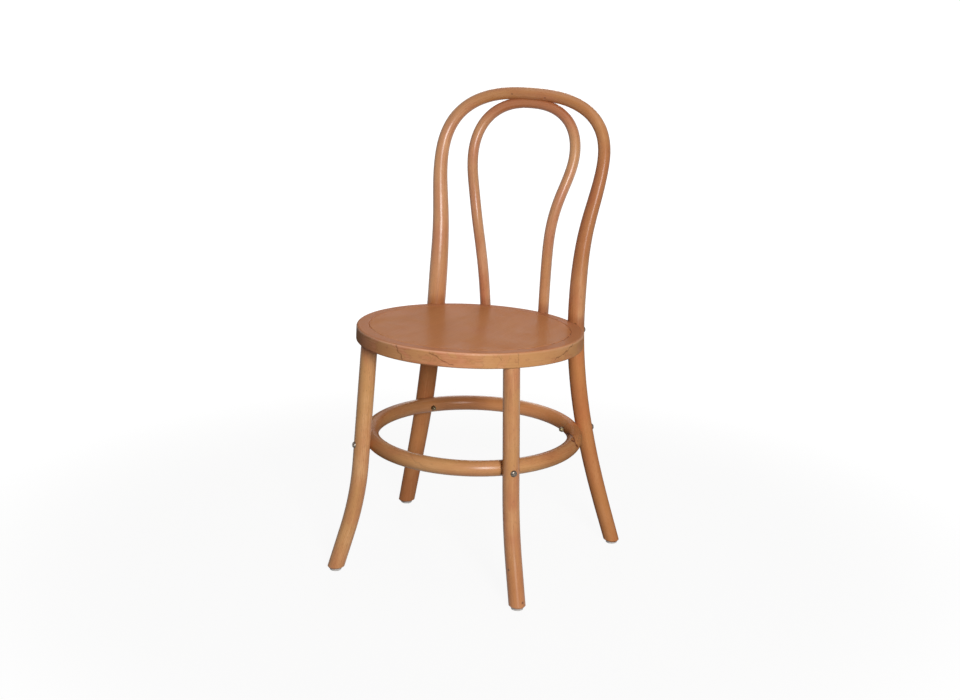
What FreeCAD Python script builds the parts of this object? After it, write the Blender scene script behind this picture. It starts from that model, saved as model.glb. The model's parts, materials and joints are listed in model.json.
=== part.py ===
# Bentwood bistro chair, in millimetres.
#
# The chair faces -Y, +X is to the right of someone behind it, +Z is up, and the floor is Z = 0.
# It is symmetrical about X = 0. The seat is a round bent rim with a plywood panel let into it.
# One long rod makes the back hoop and both rear legs, a thinner rod makes the inner hoop, and two
# rods are the front legs. A bent ring ties the four legs together. Nothing on the chair moves.
import FreeCAD, Part
import math
import os
import Sketcher
from FreeCAD import Placement, Rotation, Vector

doc = FreeCAD.newDocument("bentwood_chair")
sheet = doc.addObject("Spreadsheet::Sheet", "sizes")

SIZES = (
    ("seat_diameter", 420, "outside of the seat rim"),
    ("seat_height", 453.5, "top of the panel at its centre"),
    ("seat_pitch", 2.5, "degrees, the back of the seat is the lower side"),
    ("rim_thickness", 28, "height of the rim"),
    ("rim_width", 42, "rim, from its outside to its inside"),
    ("rim_top_round", 4, "rounding of the upper outer edge"),
    ("rim_bottom_round", 3, "rounding of the lower outer edge"),
    ("rim_border", 24, "rim that shows round the panel"),
    ("panel_thickness", 9, "plywood panel, flush with the rim"),
    ("panel_bevel", 1.2, "bevel on both sides of the line round the panel"),
    ("wood_gap", 0.1, "glue line between pieces of wood"),
    ("metal_gap", 0.1, "play round a shank"),
    ("rod_radial", 31, "rear leg, thickness away from the seat"),
    ("rod_across", 36, "rear leg, width along the rim"),
    ("rod_foot_radial", 28.5, "rear leg at the floor"),
    ("rod_foot_across", 33, "rear leg at the floor"),
    ("rod_shoulder_radial", 22.7, "back hoop where it is widest"),
    ("rod_shoulder_across", 26.5, "back hoop where it is widest"),
    ("rod_crown_radial", 23, "back hoop at its top, front to back"),
    ("rod_crown_across", 23.6, "back hoop at its top, up and down"),
    ("rear_angle", 46.5, "degrees, place of a rear leg on the rim, from the side"),
    ("rear_housing", 9, "depth of the housing in a rear leg that takes the rim"),
    ("rear_foot_out", 79, "rear foot, sideways from the place on the rim"),
    ("rear_foot_back", 38.5, "rear foot, backwards from the place on the rim"),
    ("rear_bend_height", 120, "middle of the bend in a rear leg"),
    ("rear_bend_out", 48.8, "rear leg at its bend"),
    ("rear_bend_back", 18.5, "rear leg at its bend"),
    ("rear_ring_out", 23.2, "rear leg at the height of the leg ring"),
    ("rear_ring_back", 4.2, "rear leg at the height of the leg ring"),
    ("rear_upper_out", 8.8, "rear leg half way from the ring to the seat"),
    ("rear_upper_back", -2.2, "rear leg half way from the ring to the seat"),
    ("waist_rise", 82, "narrowest place of the back, above the rim joint"),
    ("waist_out", -1.8, "back hoop at the waist"),
    ("waist_back", 6.8, "back hoop at the waist"),
    ("flank_rise", 192, "flank of the back, above the rim joint"),
    ("flank_out", 3.6, "back hoop at the flank"),
    ("flank_back", 24.2, "back hoop at the flank"),
    ("shoulder_rise", 308, "widest place of the back, above the rim joint"),
    ("shoulder_out", 18.8, "back hoop at its widest"),
    ("shoulder_back", 55.8, "back hoop at its widest"),
    ("crown_rise", 122.5, "top of the back hoop, above its widest place"),
    ("crown_squareness", 2.5, "2 is an ellipse, more is squarer"),
    ("back_lean", 19.9, "degrees, lean of the top of the back"),
    ("inner_diameter", 20.8, "rod of the inner hoop"),
    ("inner_angle", 73.4, "degrees, place of a stem on the rim, from the side"),
    ("inner_lap", 7, "depth of the lap in a stem that takes the rim"),
    ("inner_low_rise", 64, "first place of a stem above the rim joint"),
    ("inner_low_out", 3.4, "stem at its first place"),
    ("inner_low_back", -4.2, "stem at its first place"),
    ("inner_mid_rise", 134, "second place of a stem above the rim joint"),
    ("inner_mid_out", 9.2, "stem at its second place"),
    ("inner_mid_back", -11.5, "stem at its second place"),
    ("inner_flank_rise", 194, "third place of a stem above the rim joint"),
    ("inner_flank_out", 17.2, "stem at its third place"),
    ("inner_flank_back", -15.2, "stem at its third place"),
    ("inner_swell_rise", 244, "fourth place of a stem above the rim joint"),
    ("inner_swell_out", 28.1, "stem at its fourth place"),
    ("inner_swell_back", -7, "stem at its fourth place"),
    ("inner_crown_rise", 95.6, "top of the inner hoop, above its widest place"),
    ("inner_shoulder_out", 44.1, "inner hoop at its widest"),
    ("inner_shoulder_back", 20.3, "inner hoop at its widest"),
    ("inner_squareness", 2.3, "2 is an ellipse, more is squarer"),
    ("hoop_flat", 2, "planed off each hoop where the two meet"),
    ("crown_joint_width", 110, "room for the planed joint of the two hoops"),
    ("front_leg_diameter", 30.4, "front leg"),
    ("front_angle", 42.6, "degrees, place of a front leg under the rim, from the side"),
    ("front_inset", 3.4, "front leg, in from the outside of the rim"),
    ("front_turn", 3, "degrees, a front leg leans this much further to the front"),
    ("front_upper_lean", 3.9, "degrees, upper part of a front leg"),
    ("front_lower_splay", 17.7, "degrees, lower part of a front leg"),
    ("front_bend_height", 140, "where the two parts would meet"),
    ("front_bend_radius", 550, "bend between the two parts"),
    ("tenon_diameter", 20, "round tenon on a front leg"),
    ("tenon_cover", 3, "wood left above the tenon, under the panel"),
    ("foot_bevel", 3, "bevel round the end of a leg"),
    ("ring_height", 238.5, "middle of the leg ring"),
    ("ring_thickness", 29, "rod of the leg ring"),
    ("ring_seat", 1.6, "depth of the hollow in a leg that takes the ring"),
    ("scarf_gap", 0.25, "glue line where the ring's two ends meet"),
    ("scarf_angle", 12, "degrees, place of the scarf, from the side"),
    ("scarf_slope", -69, "degrees, turn of the scarf from square across"),
    ("scarf_length", 90, "saw cut of the scarf"),
    ("brad_diameter", 1.8, "pins through the scarf"),
    ("brad_length", 20, "pins through the scarf"),
    ("brad_spacing", 4, "degrees along the ring, between the pins"),
    ("brad_tilt", 45, "degrees, the pins slope down to the inside"),
    ("bolt_shank", 5, "ring and seat bolts"),
    ("bolt_head", 12, "domed head"),
    ("bolt_head_height", 4.2, "domed head"),
    ("bolt_head_round", 3.9, "rounding that makes the head a dome"),
    ("head_gap", 0.3, "room round a bolt head or washer"),
    ("spot_depth", 1, "flat sunk under a bolt head"),
    ("rear_bolt_tilt", 2.5, "degrees, the head of a rear ring bolt is higher than its nut"),
    ("rear_bolt_drop", 1.6, "rear ring bolts, below the middle of the ring"),
    ("seat_bolt_lift", 2.4, "seat bolts, above the middle of the rim under the panel"),
    ("nut_flats", 8, "cap nut, across its flats"),
    ("nut_height", 5.5, "cap nut, hexagon"),
    ("nut_dome", 3.9, "cap nut, radius of its dome"),
    ("nut_bore", 6.3, "cap nut, depth of its bore"),
    ("nut_recess", 1.9, "cap nut, sunk into the ring"),
    ("seat_nut_flats", 8, "nut inside the rim"),
    ("seat_nut_height", 4, "nut inside the rim"),
    ("washer_diameter", 12, "washer inside the rim"),
    ("washer_thickness", 1.2, "washer inside the rim"),
    ("washer_recess", 0.8, "flat sunk into the rim under the washer"),
    ("bolt_end", 1.5, "seat bolt beyond its nut"),
    ("screw_shank", 4, "wood screws"),
    ("screw_head", 8, "countersunk head"),
    ("screw_head_height", 2.6, "countersunk head"),
    ("screw_sink", 0.5, "countersunk head, below the wood"),
    ("slot_width", 1.2, "slot for the screwdriver"),
    ("slot_depth", 1.1, "slot for the screwdriver"),
    ("stem_screw_length", 32, "stem of the inner hoop to the rim"),
    ("crown_screw_length", 27, "inner hoop to back hoop"),
    ("crown_screw_spacing", 30, "between the two screws at the top"),
    ("tenon_screw_length", 34, "rim to tenon, from inside"),
    ("glide_diameter", 22, "plastic glide under a foot"),
    ("glide_height", 4.5, "plastic glide"),
    ("glide_round", 1.5, "rounding of the sole"),
    ("nail_diameter", 2.6, "nail of a glide"),
    ("nail_head", 6, "nail of a glide"),
    ("nail_head_height", 1.2, "nail of a glide"),
    ("nail_length", 18, "nail of a glide"),
    ("nail_sink", 1.2, "nail head, up from the sole"),
)
for row, (alias, size, note) in enumerate(SIZES, 1):
    sheet.set(f"A{row}", alias)
    sheet.set(f"B{row}", str(size))
    sheet.set(f"C{row}", note)
    sheet.setAlias(f"B{row}", alias)
doc.recompute()

pieces = []
UP = Vector(0, 0, 1)
BACK = Vector(0, 1, 0)
SIDES = (("left", -1), ("right", 1))
# how far a cutting tool runs past the wood that it cuts
OVERRUN = 30.0
# two heights or radii nearer than this are the same
SAME = 0.01
# sections along each hoop
SECTION_COUNT = 49
# points of a formula curve over a quarter of a crown
CROWN_POINT_COUNT = 6
# points of the planed joint's line, on each side of the middle
JOINT_POINT_COUNT = 3
# rounds in which the middle and the reach of the ring, which depend on each other, settle
ROUND_COUNT = 8


def size(alias):
    """One driving dimension."""
    return float(sheet.get(alias))


def expression(formula):
    """The value of a formula on the sheet's names."""
    result = sheet.evalExpression(formula)
    return float(getattr(result, "Value", result))


def primitive(kind, name, placement=None, **formulas):
    """A Part primitive whose sizes are bound to the sheet."""
    thing = doc.addObject("Part::" + kind, name)
    for prop, formula in formulas.items():
        thing.setExpression(prop, formula)
    if placement:
        thing.Placement = placement
    return thing


def shaped(name, shape):
    """A piece or tool that only Part's own functions can shape."""
    thing = doc.addObject("Part::Feature", name)
    thing.Shape = shape
    return thing


def fused(name, things):
    """Several things as one."""
    if len(things) == 1:
        return things[0]
    joined = doc.addObject("Part::MultiFuse", name)
    joined.Shapes = things
    return joined


def cut(name, base, tools):
    """A base with tools taken out of it."""
    result = doc.addObject("Part::Cut", name)
    result.Base = base
    result.Tool = fused(name + "_tools", tools)
    return result


def pointing(place, direction):
    """A placement that turns +Z to a direction."""
    return Placement(place, Rotation(UP, direction))


def drilled(name, place, direction, radius, depth):
    """A round tool that starts at a place and runs in a direction."""
    return primitive("Cylinder", name, pointing(place, direction), Radius=radius, Height=depth)


def piece(label, thing):
    """Marks a thing as one of the chair's pieces, under its own name."""
    thing.Label = label
    pieces.append(thing)
    return thing


def turned(name, corners, placement=None):
    """A body turned about Z, from the corners of its half section.

    A corner is a pair of formulas: its radius and its height.
    """
    body = doc.addObject("PartDesign::Body", name)
    plane = next(f for f in body.Origin.OriginFeatures if f.Role == "XZ_Plane")
    sketch = body.newObject("Sketcher::SketchObject", name + "_section")
    sketch.AttachmentSupport = [(plane, "")]
    sketch.MapMode = "FlatFace"
    points = [Vector(expression(radius), expression(height), 0) for radius, height in corners]
    for index, point in enumerate(points):
        sketch.addGeometry(Part.LineSegment(point, points[(index + 1) % len(points)]))
    for index, (radius, height) in enumerate(corners):
        after = (index + 1) % len(corners)
        sketch.addConstraint(Sketcher.Constraint("Coincident", index, 2, after, 1))
    for index, (radius, height) in enumerate(corners):
        for axis, formula, place in (("X", radius, points[index].x), ("Y", height, points[index].y)):
            rule = Sketcher.Constraint("Distance" + axis, -1, 1, index, 1, place)
            number = sketch.addConstraint(rule)
            sketch.setExpression(f"Constraints[{number}]", formula)
    turn = body.newObject("PartDesign::Revolution", name + "_turn")
    turn.Profile = sketch
    turn.ReferenceAxis = (sketch, ["V_Axis"])
    turn.Angle = 360
    body.Tip = turn
    if placement:
        body.Placement = placement
    doc.recompute()
    return body


def rounded(body, kind, edges, alias):
    """A Fillet or Chamfer on the round edges at given radii and heights."""
    tip = body.Tip
    names = []
    for number, edge in enumerate(tip.Shape.Edges, 1):
        if not hasattr(edge.Curve, "Radius"):
            continue
        for radius, height in edges:
            same_radius = abs(edge.Curve.Radius - radius) < SAME
            same_height = abs(edge.Curve.Center.z - height) < SAME
            if same_radius and same_height:
                names.append(f"Edge{number}")
    feature = body.newObject("PartDesign::" + kind, f"{body.Name}_{kind}_{alias}")
    feature.Base = (tip, names)
    feature.setExpression("Radius" if kind == "Fillet" else "Size", "sizes." + alias)
    body.Tip = feature
    doc.recompute()
    return body


# Places that several pieces share

seat_radius = size("seat_diameter") / 2
rim_inside = seat_radius - size("rim_width")
pitch = math.radians(size("seat_pitch"))
lean = math.radians(size("back_lean"))
joint_drop = (size("panel_thickness") + size("rim_thickness")) / 2


def rim_place(angle, radius):
    """A place in plan, by its angle from the right side and its distance from the seat's centre."""
    turn = math.radians(angle)
    return Vector(radius * math.cos(turn), radius * math.sin(turn), 0)


rear_joint = rim_place(size("rear_angle"), seat_radius + size("rod_radial") / 2 - size("rear_housing"))
inner_joint = rim_place(size("inner_angle"), seat_radius + size("inner_diameter") / 2 - size("inner_lap"))
crown_back = rear_joint.y + size("shoulder_back") + size("crown_rise") * math.tan(lean)
front_reach = seat_radius * math.cos(pitch) + size("rim_thickness") / 2 * math.sin(pitch)
rear_reach = crown_back + size("rod_crown_radial") / 2
seat_centre = Vector(0, (front_reach - rear_reach) / 2, 0)


def seat_top(place):
    """Height of the seat's upper face over a place in plan, measured from the seat's centre."""
    return size("seat_height") - place.y * math.tan(pitch)


def joint_height(place):
    """Middle of the rim below the panel, over a place in plan."""
    return seat_top(place) - joint_drop


seat_placement = Placement(
    seat_centre + UP * size("seat_height"), Rotation(Vector(1, 0, 0), -size("seat_pitch"))
)

# Seat: the rim is turned in section, with a rebate for the panel

rim_body = turned(
    "rim_body",
    (
        ("sizes.seat_diameter / 2 - sizes.rim_width", "-sizes.rim_thickness"),
        ("sizes.seat_diameter / 2", "-sizes.rim_thickness"),
        ("sizes.seat_diameter / 2", "0"),
        ("sizes.seat_diameter / 2 - sizes.rim_border + sizes.wood_gap + sizes.panel_bevel", "0"),
        ("sizes.seat_diameter / 2 - sizes.rim_border + sizes.wood_gap", "-sizes.panel_bevel"),
        ("sizes.seat_diameter / 2 - sizes.rim_border + sizes.wood_gap", "-sizes.panel_thickness"),
        ("sizes.seat_diameter / 2 - sizes.rim_width", "-sizes.panel_thickness"),
    ),
    seat_placement,
)
rounded(rim_body, "Fillet", ((seat_radius, 0),), "rim_top_round")
rounded(rim_body, "Fillet", ((seat_radius, -size("rim_thickness")),), "rim_bottom_round")

panel_body = turned(
    "panel_body",
    (
        ("0", "-sizes.panel_thickness + sizes.wood_gap"),
        ("sizes.seat_diameter / 2 - sizes.rim_border", "-sizes.panel_thickness + sizes.wood_gap"),
        ("sizes.seat_diameter / 2 - sizes.rim_border", "-sizes.panel_bevel"),
        ("sizes.seat_diameter / 2 - sizes.rim_border - sizes.panel_bevel", "0"),
        ("0", "0"),
    ),
    seat_placement,
)

# Rods that are bent in space


def crown_curve(half_width, rise, squareness):
    """Sideways place and height of a crown, from its widest place to near its top."""
    places = []
    for step in range(CROWN_POINT_COUNT):
        turn = math.pi / 2 * step / CROWN_POINT_COUNT
        across = half_width * math.cos(turn) ** (2 / squareness)
        up = rise * math.sin(turn) ** (2 / squareness)
        places.append((across, up))
    return places


def crown_level(across, half_width, rise, squareness):
    """Height of a crown above its widest place, at a distance from the middle."""
    return rise * (1 - (abs(across) / half_width) ** squareness) ** (1 / squareness)


def mirrored_path(half, top):
    """A smooth curve through the places of the right half, its top and the left half."""
    left = [Vector(-place.x, place.y, place.z) for place in reversed(half)]
    curve = Part.BSplineCurve()
    curve.interpolate(half + [top] + left)
    return curve


def along(curve, count):
    """Places and directions at equal steps along a curve."""
    places = curve.discretize(Number=count)
    return [(place, curve.tangent(curve.parameter(place))[0].normalize()) for place in places]


def oval_rod(curve, radial_at, across_at, count):
    """A rod with an oval section, one axis of it turned away from the seat's centre."""
    circle = Part.makeCircle(1)
    sections = []
    for place, direction in along(curve, count):
        outward = Vector(place.x - seat_centre.x, place.y - seat_centre.y, 0)
        outward = (outward - direction * outward.dot(direction)).normalize()
        across = direction.cross(outward) * (across_at(place) / 2)
        radial = outward * (radial_at(place) / 2)
        oval = FreeCAD.Matrix(
            across.x, radial.x, direction.x, place.x,
            across.y, radial.y, direction.y, place.y,
            across.z, radial.z, direction.z, place.z,
            0, 0, 0, 1,
        )
        sections.append(Part.Wire(circle.transformGeometry(oval)))
    return Part.makeLoft(sections, True, False)


def blend(place, levels):
    """A size that changes evenly between levels, given as pairs of height and size."""
    if place.z <= levels[0][0]:
        return levels[0][1]
    for (low, low_size), (high, high_size) in zip(levels, levels[1:]):
        if place.z <= high:
            share = (place.z - low) / (high - low)
            return low_size + (high_size - low_size) * share
    return levels[-1][1]


rear_seat_height = joint_height(rear_joint)
crown_base = rear_seat_height + size("shoulder_rise")
crown_height = crown_base + size("crown_rise")


def rear_place(out, back, height):
    """A place on the right rear rod, measured from its joint with the rim."""
    return seat_centre + Vector(rear_joint.x + out, rear_joint.y + back, height)


rear_foot = rear_place(size("rear_foot_out"), size("rear_foot_back"), 0)
rear_bend = rear_place(size("rear_bend_out"), size("rear_bend_back"), size("rear_bend_height"))
below_floor = rear_foot + (rear_foot - rear_bend).normalize() * OVERRUN / 2
upper_height = (size("ring_height") + rear_seat_height) / 2
rear_half = [
    below_floor,
    rear_foot,
    rear_bend,
    rear_place(size("rear_ring_out"), size("rear_ring_back"), size("ring_height")),
    rear_place(size("rear_upper_out"), size("rear_upper_back"), upper_height),
    rear_place(0, 0, rear_seat_height),
    rear_place(size("waist_out"), size("waist_back"), rear_seat_height + size("waist_rise")),
    rear_place(size("flank_out"), size("flank_back"), rear_seat_height + size("flank_rise")),
]
shoulder_width = rear_joint.x + size("shoulder_out")
for across, up in crown_curve(shoulder_width, size("crown_rise"), size("crown_squareness")):
    back = rear_joint.y + size("shoulder_back") + up * math.tan(lean)
    rear_half.append(seat_centre + Vector(across, back, crown_base + up))
crown_top = seat_centre + Vector(0, crown_back, crown_height)
hoop_curve = mirrored_path(rear_half, crown_top)

waist_height = rear_seat_height + size("waist_rise")
hoop_rod = shaped("hoop_rod", oval_rod(
    hoop_curve,
    lambda place: blend(place, (
        (0, size("rod_foot_radial")),
        (size("ring_height"), size("rod_radial")),
        (waist_height, size("rod_radial")),
        (crown_base, size("rod_shoulder_radial")),
        (crown_height, size("rod_crown_radial")),
    )),
    lambda place: blend(place, (
        (0, size("rod_foot_across")),
        (size("ring_height"), size("rod_across")),
        (waist_height, size("rod_across")),
        (crown_base, size("rod_shoulder_across")),
        (crown_height, size("rod_crown_across")),
    )),
    SECTION_COUNT,
))

inner_base = joint_height(inner_joint)
hoop_spacing = (size("rod_crown_across") + size("inner_diameter")) / 2 - 2 * size("hoop_flat")
inner_height = crown_height - hoop_spacing
inner_crown_base = inner_height - size("inner_crown_rise")
inner_width = inner_joint.x + size("inner_shoulder_out")


def stem_place(out, back, height):
    """A place on the right stem of the inner hoop, measured from its joint with the rim."""
    return seat_centre + Vector(inner_joint.x + out, inner_joint.y + back, height)


inner_half = [stem_place(0, 0, inner_base)]
for level in ("low", "mid", "flank", "swell"):
    out = size(f"inner_{level}_out")
    back = size(f"inner_{level}_back")
    inner_half.append(stem_place(out, back, inner_base + size(f"inner_{level}_rise")))
inner_half.insert(0, inner_half[0] + (inner_half[0] - inner_half[1]).normalize() * OVERRUN)
for across, up in crown_curve(inner_width, size("inner_crown_rise"), size("inner_squareness")):
    back = size("inner_shoulder_back") + up * math.tan(lean)
    inner_half.append(stem_place(across - inner_joint.x, back, inner_crown_base + up))
inner_back = inner_joint.y + size("inner_shoulder_back") + size("inner_crown_rise") * math.tan(lean)
inner_top = seat_centre + Vector(0, inner_back, inner_height)
inner_curve = mirrored_path(inner_half, inner_top)
inner_rod = shaped("inner_rod", oval_rod(
    inner_curve,
    lambda place: size("inner_diameter"),
    lambda place: size("inner_diameter"),
    SECTION_COUNT,
))

# Front legs: a straight upper part, a bend and a splayed straight lower part, in an upright plane

front_radius = "(sizes.seat_diameter / 2 - sizes.front_inset - sizes.front_leg_diameter / 2)"
front_shoulder = (
    f"(sizes.seat_height + {front_radius} * sin(sizes.front_angle) * tan(sizes.seat_pitch)"
    " - sizes.rim_thickness)"
)
bend_reach = (
    f"({front_radius} + ({front_shoulder} - sizes.front_bend_height) * tan(sizes.front_upper_lean))"
)
upper_lean = math.radians(size("front_upper_lean"))
lower_splay = math.radians(size("front_lower_splay"))
shoulder = Vector(expression(front_radius), expression(front_shoulder), 0)
bend_corner = Vector(expression(bend_reach), size("front_bend_height"), 0)
bend_radius = size("front_bend_radius")
bend_tangent = bend_radius * math.tan((lower_splay - upper_lean) / 2)
up_the_leg = Vector(-math.sin(upper_lean), math.cos(upper_lean), 0)
down_the_leg = Vector(math.sin(lower_splay), -math.cos(lower_splay), 0)
bend_top = bend_corner + up_the_leg * bend_tangent
bend_bottom = bend_corner + down_the_leg * bend_tangent
bend_centre = bend_top + Vector(math.cos(upper_lean), math.sin(upper_lean), 0) * bend_radius


def leg_reach(height):
    """Distance of a front leg's middle from the start of its plane, at a height."""
    if height >= bend_top.y:
        return shoulder.x + (shoulder.y - height) * math.tan(upper_lean)
    if height <= bend_bottom.y:
        return bend_corner.x + (bend_corner.y - height) * math.tan(lower_splay)
    return bend_centre.x - math.sqrt(bend_radius ** 2 - (height - bend_centre.y) ** 2)


def leg_direction(side, turn):
    """The way from the seat's axis to a front leg's top, turned further to the front."""
    angle = math.radians(size("front_angle") + turn)
    return Vector(side * math.cos(angle), -math.sin(angle), 0)


def leg_frame(side):
    """The upright plane of a front leg, through its top: X the way that it leans, Y up."""
    outward = leg_direction(side, size("front_turn"))
    start = seat_centre + (leg_direction(side, 0) - outward) * shoulder.x
    return Placement(start, Rotation(outward, UP, outward.cross(UP), "XYZ"))


def leg_path(name, side):
    """The middle line of a front leg, as a sketch bound to the sheet."""
    path = doc.addObject("Sketcher::SketchObject", name)
    path.Placement = leg_frame(side)
    low = bend_corner + down_the_leg * ((bend_corner.y + OVERRUN) / math.cos(lower_splay))
    high = shoulder + up_the_leg * (OVERRUN / math.cos(upper_lean))
    bend = Part.Circle(bend_centre, Vector(0, 0, 1), bend_radius)
    path.addGeometry(Part.LineSegment(low, bend_bottom))
    path.addGeometry(Part.ArcOfCircle(bend, math.pi + upper_lean, math.pi + lower_splay))
    path.addGeometry(Part.LineSegment(bend_top, high))
    path.addConstraint(Sketcher.Constraint("Tangent", 0, 2, 1, 2))
    path.addConstraint(Sketcher.Constraint("Tangent", 1, 1, 2, 1))
    low_reach = f"{bend_reach} + (sizes.front_bend_height + {OVERRUN}) * tan(sizes.front_lower_splay)"
    high_reach = f"{front_radius} - {OVERRUN} * tan(sizes.front_upper_lean)"
    rules = (
        (Sketcher.Constraint("Radius", 1, bend_radius), "sizes.front_bend_radius"),
        (Sketcher.Constraint("DistanceX", -1, 1, 0, 1, low.x), low_reach),
        (Sketcher.Constraint("DistanceY", -1, 1, 0, 1, low.y), f"-{OVERRUN}"),
        (Sketcher.Constraint("DistanceX", -1, 1, 2, 2, high.x), high_reach),
        (Sketcher.Constraint("DistanceY", -1, 1, 2, 2, high.y), f"{front_shoulder} + {OVERRUN}"),
        (Sketcher.Constraint("Angle", 0, math.pi / 2 + lower_splay), "90 + sizes.front_lower_splay"),
        (Sketcher.Constraint("Angle", 2, math.pi / 2 + upper_lean), "90 + sizes.front_upper_lean"),
    )
    for rule, formula in rules:
        number = path.addConstraint(rule)
        path.setExpression(f"Constraints[{number}]", formula)
    return path


def swept_rod(name, path, side, **radius):
    """A round rod along a path sketch."""
    start = leg_frame(side)
    low = bend_corner + down_the_leg * ((bend_corner.y + OVERRUN) / math.cos(lower_splay))
    ring = primitive("Circle", name + "_section", pointing(
        start.multVec(low), start.Rotation.multVec(down_the_leg * -1)
    ), **radius)
    sweep = doc.addObject("Part::Sweep", name)
    sweep.Sections = [ring]
    sweep.Spine = (path, ["Edge1", "Edge2", "Edge3"])
    sweep.Solid = True
    sweep.Frenet = False
    return sweep


leg_rods = {}
for word, side in SIDES:
    path = leg_path(f"front_path_{word}", side)
    leg_rods[word] = swept_rod(f"front_rod_{word}", path, side, Radius="sizes.front_leg_diameter / 2")

# Leg ring: the circle that sinks into all four legs by the same depth

ring_height = size("ring_height")
ring_rod = size("ring_thickness") / 2
front_at_ring = leg_frame(1).multVec(Vector(leg_reach(ring_height), ring_height, 0))
rear_at_ring = rear_place(size("rear_ring_out"), size("rear_ring_back"), ring_height)
front_depth = size("front_leg_diameter") / 2 - size("ring_seat")
rear_depth = size("rod_radial") / 2 - size("ring_seat")
ring_centre = Vector(0, 0, ring_height)
for _ in range(ROUND_COUNT):
    ring_reach = front_at_ring.distanceToPoint(ring_centre) - front_depth
    squares = front_at_ring.Length ** 2 - rear_at_ring.Length ** 2
    depths = (front_depth - rear_depth) * (2 * ring_reach + front_depth + rear_depth)
    ring_centre.y = (squares - depths) / (2 * (front_at_ring.y - rear_at_ring.y))
ring_radius = ring_reach - ring_rod


def torus(name, growth):
    """The leg ring's rod, grown by a formula."""
    ring = primitive("Torus", name, Placement(ring_centre, Rotation()),
                     Radius2=f"sizes.ring_thickness / 2 + {growth}")
    ring.Radius1 = ring_radius
    return ring


# Fasteners: each is made with the tool that bores its hole


def domed_bolt(name, place, outward, length):
    """A bolt with its head resting at a place, and the tools for its hole and for its head."""
    body = turned(
        name,
        (
            ("0", f"-({length})"),
            ("sizes.bolt_shank / 2", f"-({length})"),
            ("sizes.bolt_shank / 2", "0"),
            ("sizes.bolt_head / 2", "0"),
            ("sizes.bolt_head / 2", "sizes.bolt_head_height"),
            ("0", "sizes.bolt_head_height"),
        ),
        pointing(place, outward),
    )
    rounded(body, "Fillet", ((size("bolt_head") / 2, size("bolt_head_height")),), "bolt_head_round")
    piece(name, body)
    hole = drilled(name + "_hole", place, outward * -1, "sizes.bolt_shank / 2 + sizes.metal_gap", length)
    seat = drilled(name + "_seat", place, outward, "sizes.bolt_head / 2 + sizes.head_gap", f"{OVERRUN}")
    return [hole, seat]


def hexagon(name, place, direction, flats, height):
    """A nut's hexagon, which starts at a place."""
    corners = f"{flats} / sqrt(3)"
    nut = primitive("Prism", name, pointing(place, direction), Circumradius=corners, Height=height)
    nut.Polygon = 6
    return nut


def cap_nut(name, place, inward):
    """A domed nut that stands on a place, with the tool for its recess."""
    body = hexagon(name + "_hexagon", place, inward, "sizes.nut_flats", "sizes.nut_height")
    top = place + inward * size("nut_height")
    dome = primitive("Sphere", name + "_dome", pointing(top, inward), Radius="sizes.nut_dome")
    bore = drilled(name + "_bore", place, inward, "sizes.bolt_shank / 2 + sizes.metal_gap", "sizes.nut_bore")
    piece(name, cut(name, fused(name + "_solid", [body, dome]), [bore]))
    return drilled(
        name + "_recess", place, inward, "sizes.nut_flats / sqrt(3) + sizes.head_gap", f"{OVERRUN}"
    )


def countersunk_screw(name, place, outward, length):
    """A screw with the top of its head at a place, and the tool for its hole."""
    body = turned(
        name + "_blank",
        (
            ("0", f"-{length}"),
            ("sizes.screw_shank / 2", f"-{length} + sizes.screw_shank"),
            ("sizes.screw_shank / 2", "-sizes.screw_head_height"),
            ("sizes.screw_head / 2", "0"),
            ("0", "0"),
        ),
        pointing(place, outward),
    )
    slot = primitive(
        "Box", name + "_slot", Length="2 * sizes.screw_head", Width="sizes.slot_width",
        Height="2 * sizes.slot_depth"
    )
    slot_corner = Vector(-size("screw_head"), -size("slot_width") / 2, -size("slot_depth"))
    slot.Placement = pointing(place, outward) * Placement(slot_corner, Rotation())
    piece(name, cut(name, body, [slot]))
    return turned(
        name + "_hole",
        (
            ("0", f"-{length} - sizes.metal_gap"),
            ("sizes.screw_shank / 2 + sizes.metal_gap", f"-{length} - sizes.metal_gap"),
            ("sizes.screw_shank / 2 + sizes.metal_gap", "-sizes.screw_head_height"),
            ("sizes.screw_head / 2 + sizes.metal_gap", "0"),
            ("sizes.screw_head / 2 + sizes.metal_gap", f"{OVERRUN}"),
            ("0", f"{OVERRUN}"),
        ),
        pointing(place, outward),
    )


def level(direction):
    """A direction without its upright part."""
    return Vector(direction.x, direction.y, 0).normalize()


def mirrored(place, side):
    """A place on the right, or its mirror image on the left."""
    return Vector(side * place.x, place.y, place.z)


rim_tools = []
ring_tools = []
hoop_tools = []
stem_tools = []
leg_tools = {"left": [], "right": []}

# Ring bolts, from outside each leg to a cap nut inside the ring. The front ones are square to their
# legs, which lean, and the rear ones tilt less than theirs

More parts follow.
